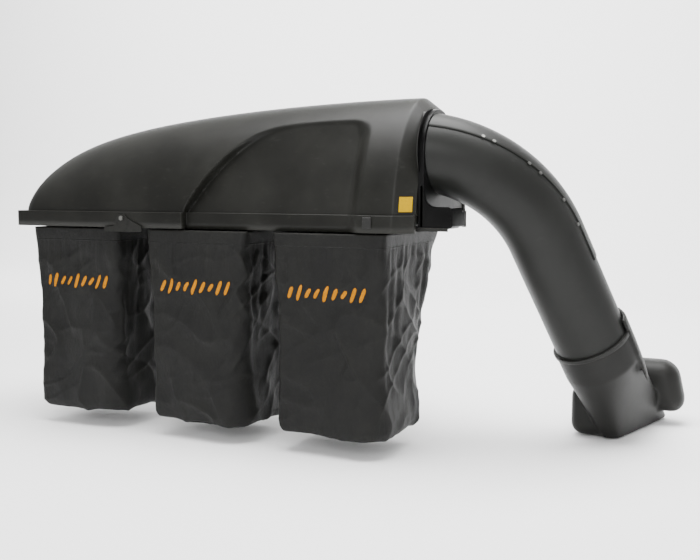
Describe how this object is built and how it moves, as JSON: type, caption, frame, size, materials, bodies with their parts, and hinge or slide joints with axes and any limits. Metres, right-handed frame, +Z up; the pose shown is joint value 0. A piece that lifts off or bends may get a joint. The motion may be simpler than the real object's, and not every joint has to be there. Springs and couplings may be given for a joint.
{
  "type": "triple grass bagger",
  "caption": "Rear grass catcher for a riding mower: cloth bags on a steel rack under a hinged moulded hood, fed by a side chute from the deck.",
  "frame": {"origin": "centre of the hitch plate's mounting face", "axes": "+X to the right seen from behind the machine, +Y forward to the machine, out of the hitch plate's mounting face, +Z up"},
  "size_m": [1.8573, 0.8986, 0.9546],
  "materials": {
    "hood_plastic": "satin, fine grain",
    "chute_plastic": "satin",
    "gloss_plastic": "glossy",
    "bag_cloth": "woven",
    "frame_steel": "black powder coat",
    "bare_steel": "dull",
    "zinc": "zinc plated",
    "patch_film": "plain film"
  },
  "bodies": {
    "rack": {"bag_hoop_left": "frame_steel", "bag_hoop_middle": "frame_steel", "bag_hoop_right": "frame_steel", "bag_left": "bag_cloth", "bag_middle": "bag_cloth", "bag_right": "bag_cloth", "bracket_bolt_left_1": "zinc", "bracket_bolt_left_2": "zinc", "bracket_bolt_right_1": "zinc", "bracket_bolt_right_2": "zinc", "chute_cover": "chute_plastic", "chute_tube_lower": "chute_plastic", "chute_tube_middle": "chute_plastic", "chute_tube_upper": "chute_plastic", "cover_screw_1": "zinc", "cover_screw_2": "zinc", "cover_screw_3": "zinc", "cover_screw_4": "zinc", "cover_screw_5": "zinc", "cover_screw_6": "zinc", "cross_rail_1": "frame_steel", "cross_rail_2": "frame_steel", "deck_boot": "chute_plastic", "front_rail": "frame_steel", "hinge_pin_left": "zinc", "hinge_pin_right": "zinc", "hinge_strap_left": "frame_steel", "hinge_strap_right": "frame_steel", "hitch_arm_left": "frame_steel", "hitch_arm_right": "frame_steel", "hitch_plate": "frame_steel", "inlet_bracket": "bare_steel", "inlet_housing": "gloss_plastic", "latch_keeper": "bare_steel", "left_rail": "frame_steel", "rear_rail": "frame_steel", "right_rail": "frame_steel", "upright_bracket_left": "frame_steel", "upright_bracket_right": "frame_steel", "upright_left": "frame_steel", "upright_right": "frame_steel"},
    "hood": {"hood_shell": "hood_plastic", "hood_end_panel": "hood_plastic", "yellow_patch": "patch_film", "rim_hook": "frame_steel", "hinge_leaf_left": "frame_steel", "hinge_leaf_right": "frame_steel", "latch_bolt": "zinc"},
    "latch": {"latch_lever": "bare_steel"}
  },
  "joints": [
    {"name": "hood_hinge", "type": "hinge", "parent": "rack", "child": "hood", "pos_m": [0, -0.058, 0.418], "axis": [-1, 0, 0], "range_deg": [0, 75]},
    {"name": "latch_pivot", "type": "hinge", "parent": "hood", "child": "latch", "pos_m": [-0.247, -0.56, 0.447], "axis": [0, 1, 0], "range_deg": [0, 60]}
  ]
}
